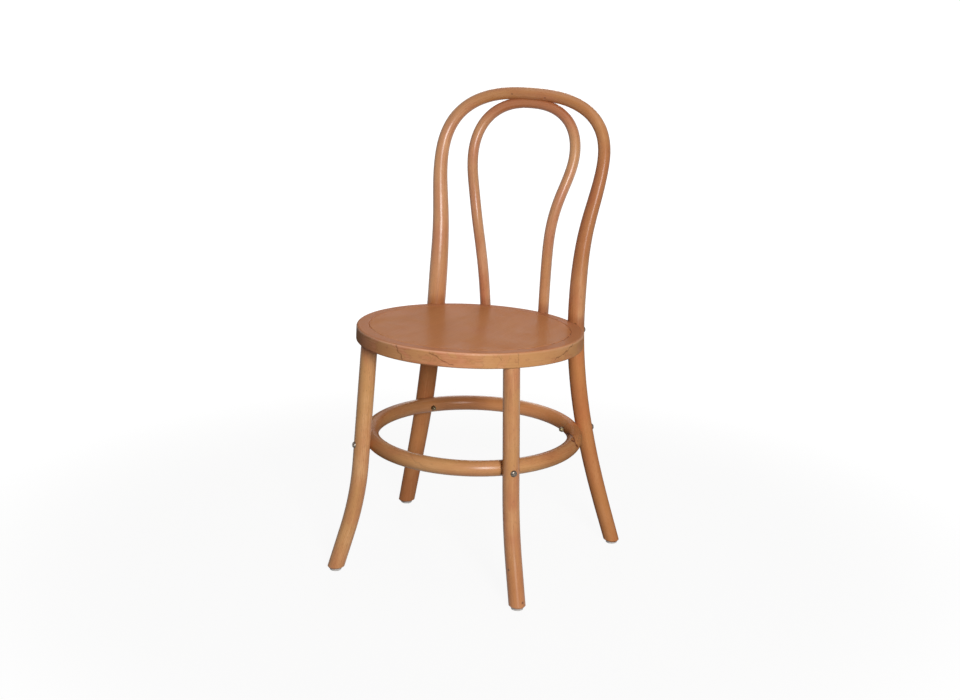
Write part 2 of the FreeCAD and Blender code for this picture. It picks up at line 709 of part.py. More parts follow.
for row, leg_middle, thickness, tilt, drop in (
    ("front", front_at_ring, "front_leg_diameter", size("front_upper_lean"), 0),
    ("rear", rear_at_ring, "rod_radial", size("rear_bolt_tilt"), size("rear_bolt_drop")),
):
    for word, side in SIDES:
        across = level(mirrored(leg_middle, side) - ring_centre)
        outward = across * math.cos(math.radians(tilt)) + UP * math.sin(math.radians(tilt))
        middle = ring_centre + across * ring_radius - UP * drop
        head_reach = ring_rod - size("ring_seat") + size(thickness) - size("spot_depth")
        head_place = middle + outward * head_reach
        nut_place = middle - outward * (ring_rod - size("nut_recess"))
        length = (
            f"sizes.{thickness} - sizes.spot_depth - sizes.ring_seat + sizes.ring_thickness"
            " - sizes.nut_recess + sizes.nut_height"
        )
        bolt_tools = domed_bolt(f"ring_bolt_{row}_{word}", head_place, outward, length)
        ring_tools += [bolt_tools[0], cap_nut(f"ring_nut_{row}_{word}", nut_place, outward * -1)]
        if row == "front":
            leg_tools[word] += bolt_tools
        else:
            hoop_tools += bolt_tools

# Seat bolts, from outside each rear leg to a nut inside the rim

bolt_height = rear_seat_height + size("seat_bolt_lift")
for word, side in SIDES:
    joint = seat_centre + mirrored(rear_joint, side) + UP * bolt_height
    outward = level(mirrored(rear_joint, side))
    head_place = joint + outward * (size("rod_radial") / 2 - size("spot_depth"))
    inside = seat_centre + outward * (rim_inside + size("washer_recess")) + UP * bolt_height
    length = (
        "sizes.rim_width + sizes.rod_radial - sizes.rear_housing - sizes.spot_depth"
        " - sizes.washer_recess + sizes.washer_thickness + sizes.seat_nut_height + sizes.bolt_end"
    )
    bolt_tools = domed_bolt(f"seat_bolt_{word}", head_place, outward, length)
    hoop_tools += bolt_tools
    washer = turned(
        f"seat_washer_{word}",
        (
            ("sizes.bolt_shank / 2 + sizes.metal_gap", "0"),
            ("sizes.washer_diameter / 2", "0"),
            ("sizes.washer_diameter / 2", "sizes.washer_thickness"),
            ("sizes.bolt_shank / 2 + sizes.metal_gap", "sizes.washer_thickness"),
        ),
        pointing(inside, outward * -1),
    )
    piece(f"seat_washer_{word}", washer)
    nut_place = inside - outward * size("washer_thickness")
    nut = hexagon(
        f"seat_nut_{word}_hexagon", nut_place, outward * -1, "sizes.seat_nut_flats", "sizes.seat_nut_height"
    )
    piece(f"seat_nut_{word}", cut(f"seat_nut_{word}", nut, [bolt_tools[0]]))
    recess = drilled(
        f"washer_recess_{word}", inside, outward * -1,
        "sizes.washer_diameter / 2 + sizes.head_gap", f"{OVERRUN}"
    )
    rim_tools += [bolt_tools[0], recess]

# Screws: stems to the rim from behind, rim to the tenons from inside, hoop to hoop from below

for word, side in SIDES:
    joint = seat_centre + mirrored(inner_joint, side) + UP * inner_base
    outward = level(mirrored(inner_joint, side))
    head_place = joint + outward * (size("inner_diameter") / 2 - size("screw_sink"))
    hole = countersunk_screw(f"stem_screw_{word}", head_place, outward, "sizes.stem_screw_length")
    stem_tools.append(hole)
    rim_tools.append(hole)

    outward = leg_direction(side, 0)
    joint = seat_centre + outward * (rim_inside + size("screw_sink"))
    joint.z = joint_height(outward * shoulder.x)
    hole = countersunk_screw(f"tenon_screw_{word}", joint, outward * -1, "sizes.tenon_screw_length")
    rim_tools.append(hole)
    leg_tools[word].append(hole)

    head_place = inner_top - UP * (size("inner_diameter") / 2 - size("screw_sink"))
    head_place.x = side * size("crown_screw_spacing") / 2
    hole = countersunk_screw(f"crown_screw_{word}", head_place, UP * -1, "sizes.crown_screw_length")
    stem_tools.append(hole)
    hoop_tools.append(hole)

# Glides and their nails, under every leg

glide_height = size("glide_height")
front_foot = leg_frame(1).multVec(Vector(leg_reach(glide_height), glide_height, 0))
rear_sole = rear_foot + (rear_bend - rear_foot) * (glide_height / rear_bend.z)
for row, foot in (("front", front_foot), ("rear", rear_sole)):
    for word, side in SIDES:
        place = Vector(side * foot.x, foot.y, 0)
        glide = turned(
            f"glide_body_{row}_{word}",
            (
                ("0", "0"),
                ("sizes.glide_diameter / 2", "0"),
                ("sizes.glide_diameter / 2", "sizes.glide_height - sizes.wood_gap"),
                ("0", "sizes.glide_height - sizes.wood_gap"),
            ),
            Placement(place, Rotation()),
        )
        rounded(glide, "Fillet", ((size("glide_diameter") / 2, 0),), "glide_round")
        nail_place = place + UP * size("nail_sink")
        nail = turned(
            f"glide_nail_{row}_{word}",
            (
                ("0", "0"),
                ("sizes.nail_head / 2", "0"),
                ("sizes.nail_head / 2", "sizes.nail_head_height"),
                ("sizes.nail_diameter / 2", "sizes.nail_head_height"),
                ("sizes.nail_diameter / 2", "sizes.nail_length"),
                ("0", "sizes.nail_length"),
            ),
            Placement(nail_place, Rotation()),
        )
        piece(f"glide_nail_{row}_{word}", nail)
        hole = drilled(
            f"nail_hole_{row}_{word}", nail_place, UP,
            "sizes.nail_diameter / 2 + sizes.metal_gap", "sizes.nail_length + sizes.metal_gap"
        )
        sink = drilled(
            f"nail_sink_{row}_{word}", place - UP * OVERRUN, UP,
            "sizes.nail_head / 2 + sizes.metal_gap",
            f"{OVERRUN} + sizes.nail_sink + sizes.nail_head_height"
        )
        piece(f"glide_{row}_{word}", cut(f"glide_{row}_{word}", glide, [hole, sink]))
        if row == "front":
            leg_tools[word].append(hole)
        else:
            hoop_tools.append(hole)

# Joints of the wood


def seat_slab(name, low, thickness, radius):
    """A round tool parallel to the seat, from a height measured from the seat's upper face."""
    slab = primitive("Cylinder", name, Radius=radius, Height=thickness)
    slab.Placement = seat_placement * Placement(UP * low, Rotation())
    return slab


def joint_tool(name, reach):
    """What the planed joint at the top takes from a hoop: reach is its height, up or down."""
    shift = math.copysign(size("wood_gap") / 2, -reach)
    places = []
    for step in range(-JOINT_POINT_COUNT, JOINT_POINT_COUNT + 1):
        across = size("crown_joint_width") / 2 * step / JOINT_POINT_COUNT
        outer = crown_level(across, shoulder_width, size("crown_rise"), size("crown_squareness"))
        inner = crown_level(across, inner_width, size("inner_crown_rise"), size("inner_squareness"))
        underside = crown_base + outer - size("rod_crown_across") / 2
        upperside = inner_crown_base + inner + size("inner_diameter") / 2
        places.append(Vector(across, crown_top.y - OVERRUN, (underside + upperside) / 2 + shift))
    line = Part.BSplineCurve()
    line.interpolate(places)
    start = places[0]
    end = places[-1]
    lift = UP * reach
    outline = Part.Wire([
        line.toShape(),
        Part.makeLine(end, end + lift),
        Part.makeLine(end + lift, start + lift),
        Part.makeLine(start + lift, start),
    ])
    return shaped(name, Part.Face(outline).extrude(BACK * (2 * OVERRUN)))


def bevelled(name, base):
    """A bevel round the ends of a rod that stand on the glides."""
    doc.recompute()
    width = size("foot_bevel")
    bevel = doc.addObject("Part::Chamfer", name)
    bevel.Base = base
    bevel.Edges = [
        (number, width, width) for number, edge in enumerate(base.Shape.Edges, 1)
        if abs(edge.CenterOfMass.z - glide_height) < SAME
    ]
    return bevel


housing = seat_slab(
    "housing", -size("rim_thickness") - size("wood_gap"),
    "sizes.rim_thickness + 2 * sizes.wood_gap", "sizes.seat_diameter / 2 + sizes.wood_gap"
)
under_rim = seat_slab(
    "under_rim", -size("rim_thickness") - 2 * OVERRUN, f"{2 * OVERRUN}", "sizes.seat_diameter"
)
over_shoulder = seat_slab(
    "over_shoulder", -size("rim_thickness") - size("wood_gap"), f"{3 * OVERRUN}", "sizes.seat_diameter"
)
below_feet = primitive(
    "Box", "below_feet", Length="4 * sizes.seat_diameter", Width="4 * sizes.seat_diameter",
    Height=f"sizes.glide_height + {2 * OVERRUN}"
)
below_feet.Placement.Base = Vector(-2 * size("seat_diameter"), -2 * size("seat_diameter"), -2 * OVERRUN)
ring_hollow = torus("ring_hollow", "sizes.wood_gap")

# Back hoop and inner hoop

hoop_blank = cut("hoop_blank", hoop_rod, [below_feet])
hoop_bevelled = bevelled("hoop_bevelled", hoop_blank)
hoop_tools += [housing, ring_hollow, joint_tool("outer_joint_tool", -OVERRUN)]
piece("back_hoop", cut("back_hoop", hoop_bevelled, hoop_tools))
stem_tools += [housing, under_rim, joint_tool("inner_joint_tool", OVERRUN)]
piece("inner_hoop", cut("inner_hoop", inner_rod, stem_tools))

# Front legs, with their tenons

tenon_length = "sizes.rim_thickness - sizes.panel_thickness - sizes.tenon_cover"
for word, side in SIDES:
    place = leg_frame(side)
    root = place.multVec(shoulder - up_the_leg * OVERRUN)
    direction = place.Rotation.multVec(up_the_leg)
    blank = cut(f"leg_blank_{word}", leg_rods[word], [over_shoulder, below_feet])
    foot = bevelled(f"leg_bevelled_{word}", blank)
    tenon = drilled(
        f"tenon_{word}", root, direction, "sizes.tenon_diameter / 2", f"{OVERRUN} + {tenon_length}"
    )
    mortise = drilled(
        f"mortise_{word}", root, direction,
        "sizes.tenon_diameter / 2 + sizes.wood_gap", f"{OVERRUN} + {tenon_length} + sizes.wood_gap"
    )
    rim_tools.append(mortise)
    whole = fused(f"leg_whole_{word}", [foot, tenon])
    piece(f"front_leg_{word}", cut(f"front_leg_{word}", whole, leg_tools[word] + [ring_hollow]))

# Leg ring, with its scarf and the pins through it

scarf_turn = math.radians(size("scarf_angle"))
scarf_out = Vector(math.cos(scarf_turn), math.sin(scarf_turn), 0)
scarf_middle = ring_centre + scarf_out * ring_radius
saw = primitive(
    "Box", "scarf_saw", Length="sizes.scarf_length", Width="sizes.scarf_gap",
    Height="2 * sizes.ring_thickness"
)
saw_turn = Rotation(UP, size("scarf_angle") + size("scarf_slope"))
saw_corner = Vector(size("scarf_length"), size("scarf_gap"), 2 * size("ring_thickness")) * -0.5
saw.Placement = Placement(scarf_middle + saw_turn.multVec(saw_corner), saw_turn)
tilt = math.radians(size("brad_tilt"))
brads = []
for number in (-1, 0, 1):
    turn = scarf_turn + math.radians(size("brad_spacing")) * number
    across = Vector(math.cos(turn), math.sin(turn), 0)
    outward = across * math.cos(tilt) + UP * math.sin(tilt)
    face = ring_centre + across * ring_radius + outward * ring_rod
    brads.append(drilled(
        f"scarf_brad_{number + 2}", face, outward * -1, "sizes.brad_diameter / 2", "sizes.brad_length"
    ))
brad_group = doc.addObject("Part::Compound", "scarf_brads")
brad_group.Links = brads
piece("scarf_brads", brad_group)
piece("leg_ring", cut("leg_ring", torus("ring_rod", "0"), ring_tools + [saw] + brads))

# Seat

piece("seat_rim", cut("seat_rim", rim_body, rim_tools))
piece("seat_panel", panel_body)

# Checks, then one file for each piece

doc.recompute()
failed = [thing.Name for thing in doc.Objects if {"Invalid", "Error"} & set(thing.State)]
if failed:
    raise RuntimeError("failed: " + ", ".join(failed))
for thing in pieces:
    if thing.Shape.isNull() or not thing.Shape.isValid():
        raise RuntimeError("no valid shape: " + thing.Label)
os.makedirs("parts", exist_ok=True)
for thing in pieces:
    thing.Shape.exportStep(f"parts/{thing.Label}.step")
    print(thing.Label, len(thing.Shape.Solids), round(thing.Shape.Volume))
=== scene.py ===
# %% [markdown]
# A bentwood cafe chair. Its rods were straight sticks of beech that were steamed and bent, so the
# wood's figure runs along each rod and round every bend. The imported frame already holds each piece
# at its true size. What is left to do here is to give the wood its figure, the lacquer its sheen
# and the metal its wear, and to light the chair as a plain studio would.

# %% Load the frame
import json
import math

import bpy
import numpy as np
from mathutils import Matrix, Vector


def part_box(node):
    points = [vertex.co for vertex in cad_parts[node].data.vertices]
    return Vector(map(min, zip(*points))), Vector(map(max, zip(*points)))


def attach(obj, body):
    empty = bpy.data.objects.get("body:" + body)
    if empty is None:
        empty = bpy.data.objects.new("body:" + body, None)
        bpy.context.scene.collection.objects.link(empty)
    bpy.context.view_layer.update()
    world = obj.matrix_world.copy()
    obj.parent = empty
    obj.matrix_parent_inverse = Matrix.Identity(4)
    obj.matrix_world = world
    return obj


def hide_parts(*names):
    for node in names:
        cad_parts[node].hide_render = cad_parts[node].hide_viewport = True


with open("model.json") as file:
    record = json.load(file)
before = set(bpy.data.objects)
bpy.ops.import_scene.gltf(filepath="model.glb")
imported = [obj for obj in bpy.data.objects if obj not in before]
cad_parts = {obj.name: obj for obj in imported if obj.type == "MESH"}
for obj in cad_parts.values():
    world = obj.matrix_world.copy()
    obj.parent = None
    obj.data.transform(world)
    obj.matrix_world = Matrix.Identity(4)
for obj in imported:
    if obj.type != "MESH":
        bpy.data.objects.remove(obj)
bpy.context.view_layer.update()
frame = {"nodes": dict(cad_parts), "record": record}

# %% [markdown]
# Most places below are counted from the seat or from the ring that ties the legs, and a few small
# marks from the chair's own origin. The middle of the seat's upper face is the record's mount
# seat_top, and its slope is the direction of that mount. The ring's middle and its two radii come
# from the box round it.

# %% Where the seat and the leg ring are
SEAT = next(mount for mount in frame["record"]["mounts"] if mount["name"] == "seat_top")
SEAT_MIDDLE = Vector(SEAT["pos_m"])
SEAT_NORMAL = Vector(SEAT["axis"])
RING_LOW, RING_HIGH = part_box("leg_ring")
RING_MIDDLE = (RING_LOW + RING_HIGH) / 2
RING_ROD = (RING_HIGH.z - RING_LOW.z) / 2
RING_RADIUS = (RING_HIGH.x - RING_LOW.x) / 2 - RING_ROD
print("seat middle", SEAT_MIDDLE, "ring radius", round(RING_RADIUS, 4))

# %% [markdown]
# A material is a small sum: so much of this figure, so much of that colour. Writing the sum with
# nodes takes pages, so one class stands for a socket and lets Python's own operators add the
# Math nodes. Any other node comes from its method make. Most masks here are one of three shapes: a
# step (between), a band (band) or a bump round a value (near).


# %% A socket that does sums
class Flow:
    """A socket of a node tree that can be used like a number."""

    def __init__(self, tree, socket=None):
        self.tree = tree
        self.socket = socket

    def make(self, kind, settings=None, inputs=None, output=0):
        """Add a node: settings first, then the values or links of its sockets."""
        node = self.tree.nodes.new("ShaderNode" + kind)
        for name, value in (settings or {}).items():
            setattr(node, name, value)
        for name, value in (inputs or {}).items():
            if isinstance(value, Flow):
                self.tree.links.new(value.socket, node.inputs[name])
            else:
                node.inputs[name].default_value = value
        return Flow(self.tree, node.outputs[output])

    def maths(self, operation, *values):
        """A Math node on this socket and more values."""
        inputs = dict(enumerate((self,) + values))
        return self.make("Math", {"operation": operation}, inputs)

    def __add__(self, other):
        return self.maths("ADD", other)

    __radd__ = __add__

    def __sub__(self, other):
        return self.maths("SUBTRACT", other)

    def __rsub__(self, other):
        return self.make("Math", {"operation": "SUBTRACT"}, {0: other, 1: self})

    def __mul__(self, other):
        return self.maths("MULTIPLY", other)

    def __truediv__(self, other):
        return self.maths("DIVIDE", other)

    def between(self, low, high):
        """0 below low, 1 above high, and smooth from one to the other."""
        settings = {"interpolation_type": "SMOOTHSTEP"}
        return self.make("MapRange", settings, {"Value": self, "From Min": low, "From Max": high})

    def band(self, rise, fall):
        """0 to 1 over the first pair of values, and back to 0 over the second."""
        return self.between(*rise) * (1 - self.between(*fall))

    def near(self, middle, full, none):
        """1 up to full away from the middle, and 0 beyond none."""
        return 1 - (self - middle).maths("ABSOLUTE").between(full, none)

    def mix(self, first, second):
        """One colour where this is 0 and another where it is 1."""
        return self.make("Mix", {"data_type": "RGBA"}, {0: self, 6: first, 7: second}, output=2)


def point(flow, across, up, along):
    """Three numbers as one vector."""
    return flow.make("CombineXYZ", None, {"X": across, "Y": up, "Z": along})


def parts_of(flow, vector):
    """The three numbers of a vector."""
    outputs = flow.make("SeparateXYZ", None, {0: vector}).socket.node.outputs
    return [Flow(flow.tree, output) for output in outputs]


def vector_maths(flow, operation, first, second):
    """A Vector Math node that gives a vector."""
    return flow.make("VectorMath", {"operation": operation}, {0: first, 1: second})


def object_place(flow):
    """The place on the chair, in metres from its origin on the floor."""
    return flow.make("TexCoord", None, None, output=3)


def noise(flow, place, scale, detail=2.0, roughness=0.5, distortion=0.0):
    """Cloudy noise around 0.5."""
    inputs = {"Vector": place, "Scale": scale, "Detail": detail}
    inputs.update({"Roughness": roughness, "Distortion": distortion})
    return flow.make("TexNoise", None, inputs)


def new_material(name):
    """An empty material and a Flow on its tree."""
    material = bpy.data.materials.new(name)
    material.use_nodes = True
    material.node_tree.nodes.clear()
    return material, Flow(material.node_tree)


def surface(flow, shader):
    """Joins a shader to the material's output."""
    end = flow.tree.nodes.new("ShaderNodeOutputMaterial")
    flow.tree.links.new(shader.socket, end.inputs["Surface"])


def colour(red, green, blue):
    """A colour as it looks on a screen, 0 to 255, as Blender's linear numbers."""
    linear = []
    for value in (red, green, blue):
        share = value / 255
        low = share <= 0.04045
        linear.append(share / 12.92 if low else ((share + 0.055) / 1.055) ** 2.4)
    return (*linear, 1.0)


print("middle grey on a screen is", round(colour(128, 128, 128)[0], 3), "in linear light")

# %% [markdown]
# The figure of the wood belongs to the straight stick, before it was bent. So each point of a
# bent rod gets the place that it had in the stick: how far it lies to either side of the rod's
# middle line, and how far along that line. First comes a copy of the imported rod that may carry
# these numbers. Its loose triangles are merged, so that it shades as one smooth surface.

# %% A copy of a frame piece that may be finished
MERGE_DISTANCE = 0.00001
SMOOTH_ANGLE = math.radians(32)


def corner_normals(mesh):
    """The way that the surface faces at each corner of each triangle."""
    normals = np.zeros(len(mesh.loops) * 3)
    mesh.corner_normals.foreach_get("vector", normals)
    return normals.reshape(-1, 3)


def finished_copy(node):
    """A copy of a frame node, with its loose triangles merged, in the node's place."""
    bpy.ops.object.select_all(action="DESELECT")
    original = frame["nodes"][node]
    piece = original.copy()
    piece.data = original.data.copy()
    piece.name = node + "_finished"
    piece.parent = None
    piece.matrix_world = Matrix.Identity(4)
    bpy.context.scene.collection.objects.link(piece)
    piece.select_set(True)
    bpy.context.view_layer.objects.active = piece
    normals = corner_normals(piece.data)
    bpy.ops.mesh.customdata_custom_splitnormals_clear()
    bpy.ops.object.mode_set(mode="EDIT")
    bpy.ops.mesh.select_all(action="SELECT")
    bpy.ops.mesh.remove_doubles(threshold=MERGE_DISTANCE)
    bpy.ops.object.mode_set(mode="OBJECT")
    if len(piece.data.loops) == len(normals):
        piece.data.normals_split_custom_set(normals)
    else:
        bpy.ops.object.shade_smooth_by_angle(angle=SMOOTH_ANGLE)
    for key in [key for key in piece.keys() if key.startswith("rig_")]:
        del piece[key]
    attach(piece, "root")
    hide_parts(node)
    return piece


back_hoop = finished_copy("back_hoop")
print("back hoop points", len(back_hoop.data.vertices))

# %% [markdown]
# The middle line is found by cutting the rod's mesh with planes and taking the middle of each
# cut. The back hoop and the inner hoop are both keyholes, two legs and a round head, so the planes
# are level up the legs and fan out round the head. Heights near the seat and near the leg ring are
# left out, because there the rods are notched and the middle of the cut would step aside.

# %% Middle lines of the rods
# Heights above the floor: the joints to leave out, the feet, and where the round heads start
SEAT_ZONE = (0.395, 0.475)
RING_ZONE = (0.205, 0.272)
FOOT = 0.012
HOOP_HEAD = 0.735
INNER_HEAD = 0.745

# How far apart the level cuts are, and how many planes fan out over a quarter turn
HOOP_STEP = 0.035
LEG_STEP = 0.03
FAN_PLANES = 13

LEVEL = np.array((0, 0, 1.0))


def mesh_arrays(piece):
    """The points of a mesh and the pairs of points that its edges join."""
    points = np.zeros(len(piece.data.vertices) * 3)
    piece.data.vertices.foreach_get("co", points)
    pairs = np.zeros(len(piece.data.edges) * 2, dtype=int)
    piece.data.edges.foreach_get("vertices", pairs)
    return points.reshape(-1, 3), pairs.reshape(-1, 2)


def cut_middle(points, pairs, origin, normal, towards):
    """The middle of where a plane cuts a rod, on one side of the origin."""
    away = (points - origin) @ normal
    first, second = away[pairs[:, 0]], away[pairs[:, 1]]
    crossing = first * second < 0
    share = (first / (first - second))[crossing][:, None]
    ends = points[pairs[crossing]]
    places = ends[:, 0] * (1 - share) + ends[:, 1] * share
    places = places[(places - origin) @ towards > 0]
    return (places.min(axis=0) + places.max(axis=0)) / 2


def clear_heights(low, high, step):
    """Heights up a leg, away from the joints."""
    heights = np.arange(low, high, step)
    near_seat = (heights > SEAT_ZONE[0]) & (heights < SEAT_ZONE[1])
    near_ring = (heights > RING_ZONE[0]) & (heights < RING_ZONE[1])
    return heights[~near_seat & ~near_ring]


def keyhole_line(piece, low, head):
    """The middle line of a hoop, from end to end; head is the height where its round starts."""
    points, pairs = mesh_arrays(piece)
    right = np.array((1.0, 0, 0))
    half = [
        cut_middle(points, pairs, np.array((0, 0, height)), LEVEL, right)
        for height in clear_heights(low, head, HOOP_STEP)
    ]
    head_middle = np.array((0, 0, head))
    for turn in np.linspace(0, math.pi / 2, FAN_PLANES)[1:]:
        out = np.array((math.cos(turn), 0, math.sin(turn)))
        normal = np.array((-math.sin(turn), 0, math.cos(turn)))
        half.append(cut_middle(points, pairs, head_middle, normal, out))
    half[-1][0] = 0
    mirrored = [place * np.array((-1, 1, 1)) for place in reversed(half[:-1])]
    return np.array(half + mirrored)


def leg_line(piece, low, high):
    """The middle line of a front leg, from its foot up."""
    points, pairs = mesh_arrays(piece)
    towards = np.array((math.copysign(1.0, points[:, 0].mean()), 0, 0))
    return np.array([
        cut_middle(points, pairs, np.array((0, 0, height)), LEVEL, towards)
        for height in clear_heights(low, high, LEG_STEP)
    ])


hoop_line = keyhole_line(back_hoop, FOOT, HOOP_HEAD)
print("places on the back hoop's middle line", len(hoop_line))

# %% [markdown]
# Now each point is measured from the nearest place on its rod's line: outwards from the seat's
# middle, sideways, and along. The few places found by cutting are joined by a smooth curve first,
# or the grain would kink at each of them. The three numbers stay on the mesh as the attribute
# stick, which the wood material reads.

# %% Measure each point along and across its rod
LINE_SPACING = 0.003

# Points that are measured at a time, which saves memory
BLOCK = 4000


def dense_line(line):
    """A smooth line with close points, through the given ones and past both ends."""
    first, last = 2 * line[0] - line[1], 2 * line[-1] - line[-2]
    padded = np.vstack([2 * first - line[0], first, line, last, 2 * last - line[-1]])
    dense = []
    for before, start, end, after in zip(padded, padded[1:], padded[2:], padded[3:]):
        count = max(2, int(np.linalg.norm(end - start) / LINE_SPACING))
        for share in np.arange(count) / count:
            bend = (2 * before - 5 * start + 4 * end - after) * share**2
            turn = (3 * start - before - 3 * end + after) * share**3
            dense.append(start + ((end - before) * share + bend + turn) / 2)
    return np.array(dense)


def keep_stick_places(piece, places):
    """Stores the place of each point in the straight stick on the mesh."""
    layer = piece.data.attributes.new("stick", "FLOAT_VECTOR", "POINT")
    layer.data.foreach_set("vector", places.astype(np.float32).ravel())


def straighten(piece, line):
    """Measures a rod's points from its middle line, as if the rod were straight again."""
    points, _ = mesh_arrays(piece)
    dense = dense_line(line)
    steps = np.diff(dense, axis=0)
    lengths = np.concatenate([[0], np.cumsum(np.linalg.norm(steps, axis=1))])
    directions = np.gradient(dense, axis=0)
    directions /= np.linalg.norm(directions, axis=1)[:, None]
    nearest = np.concatenate([
        ((block[:, None] - dense[None]) ** 2).sum(axis=2).argmin(axis=1)
        for block in np.array_split(points, max(1, len(points) // BLOCK))
    ])
    offsets = points - dense[nearest]
    along = (offsets * directions[nearest]).sum(axis=1)
    outward = dense[nearest] - np.array(SEAT_MIDDLE)
    outward[:, 2] = 0
    outward -= directions[nearest] * (outward * directions[nearest]).sum(axis=1)[:, None]
    outward /= np.linalg.norm(outward, axis=1)[:, None]
    sideways = np.cross(directions[nearest], outward)
    across = (offsets * outward).sum(axis=1)
    beside = (offsets * sideways).sum(axis=1)
    keep_stick_places(piece, np.stack([across, beside, lengths[nearest] + along], axis=1))
    return lengths[-1]


print("back hoop stick", round(straighten(back_hoop, hoop_line), 3), "m long")

inner_hoop = finished_copy("inner_hoop")
inner_line = keyhole_line(inner_hoop, SEAT_ZONE[1], INNER_HEAD)
print("inner hoop stick", round(straighten(inner_hoop, inner_line), 3), "m long")

front_legs = []
for side in ("left", "right"):
    leg = finished_copy("front_leg_" + side)
    print(leg.name, "stick", round(straighten(leg, leg_line(leg, FOOT, SEAT_ZONE[0])), 3), "m long")
    front_legs.append(leg)

# %% [markdown]
# The leg ring is one stick bent to a circle, with its ends cut to long slopes and glued. A
# circle needs no cuts to find its middle line. The only care is at the joint: the two ends lie
# side by side there, one counted from the stick's start and the other from its end. Here the
# figure jumps from one to the other along a slope that crosses the joint, and the stain painted
# further down softens the jump.

# %% The leg ring
# Where the figure jumps: the angle round the ring, the slope, and how far it can reach
SEAM_ANGLE = math.radians(16)
SEAM_SLOPE = math.radians(62)
NEAR_SEAM = math.radians(30)


def straighten_ring(piece):
    """Measures the ring's points as if it were straight, from one side of the seam to the other."""
    points, _ = mesh_arrays(piece)
    flat = points - np.array(RING_MIDDLE)
    turn = np.arctan2(flat[:, 1], flat[:, 0]) - SEAM_ANGLE
    turn = (turn + math.pi) % (2 * math.pi) - math.pi
    normal_angle = SEAM_ANGLE + SEAM_SLOPE + math.pi / 2
    seam_out = np.array((math.cos(SEAM_ANGLE), math.sin(SEAM_ANGLE), 0))
    normal = np.array((math.cos(normal_angle), math.sin(normal_angle), 0))
    beyond = (flat - seam_out * RING_RADIUS) @ normal
    forward = np.sign(normal @ np.array((-math.sin(SEAM_ANGLE), math.cos(SEAM_ANGLE), 0)))
    after_seam = np.where(np.abs(turn) < NEAR_SEAM, beyond * forward > 0, turn > 0)
    turn = np.where(after_seam, turn, turn + 2 * math.pi)
    across = np.hypot(flat[:, 0], flat[:, 1]) - RING_RADIUS
    keep_stick_places(piece, np.stack([across, flat[:, 2], turn * RING_RADIUS], axis=1))


leg_ring = finished_copy("leg_ring")
straighten_ring(leg_ring)
print("leg ring stick", round(2 * math.pi * RING_RADIUS, 3), "m long")

# %% [markdown]
# Beech is a quiet wood. Close to, it has faint year rings, short dark flecks where rays come to
# the surface and fine fibres; from a step away it is a warm even colour that drifts from tan to
# rose along the stick. All of it is worked out in the straight stick, so that it bends with the
# rod. The lacquer over it is a satin coat on the shader: a broad soft highlight, not a mirror.
# Two hooks let a piece add what only it has: marks changes the colour, and shine the coat.

# %% Wood and lacquer
PALE = colour(212, 160, 112)
TAN = colour(198, 146, 92)
ROSE = colour(190, 122, 84)
# Dark wood of the figure, also used as painted shade on the ring's sides
DARK_WOOD_AND_SHADE = colour(150, 92, 56)
VEIN = colour(92, 52, 32)

# The distance between year rings, and where the middle of the tree lay beside the stick
YEAR = 0.0026
PITH = (0.058, -0.034)

# How far the year rings drift and ripple
RING_DRIFT = 0.03
RING_RIPPLE = 0.0016

# How fine each figure is, across the grain and along it
DRIFT = (9, 1.6)
WOBBLE = (60, 4)
FIBRES = (600, 14)
STREAKS = (110, 4.5)
FLECKS = (760, 170)
CLOUD = (34, 15)
ROSY = (24, 11)

# How much each figure darkens the wood, and the roughness of the lacquer
LATE_SHARE = 0.14
FIBRE_SHARE = 0.46
STREAK_SHARE = 0.5
CLOUD_SHARE = 1.1
FLECK_SHARE = 0.26
LACQUER_ROUGHNESS = 0.29


def figure(flow, stick, fineness, **settings):
    """Noise that is stretched along the grain."""
    across, along = fineness
    place = vector_maths(flow, "MULTIPLY", stick, (across, across, along))
    return noise(flow, place, 1.0, **settings)


def tinted(flow, base, tint):
    """A colour taken down by another."""
    settings = {"data_type": "RGBA", "blend_type": "MULTIPLY"}
    return flow.make("Mix", settings, {0: 1.0, 6: base, 7: tint}, output=2)


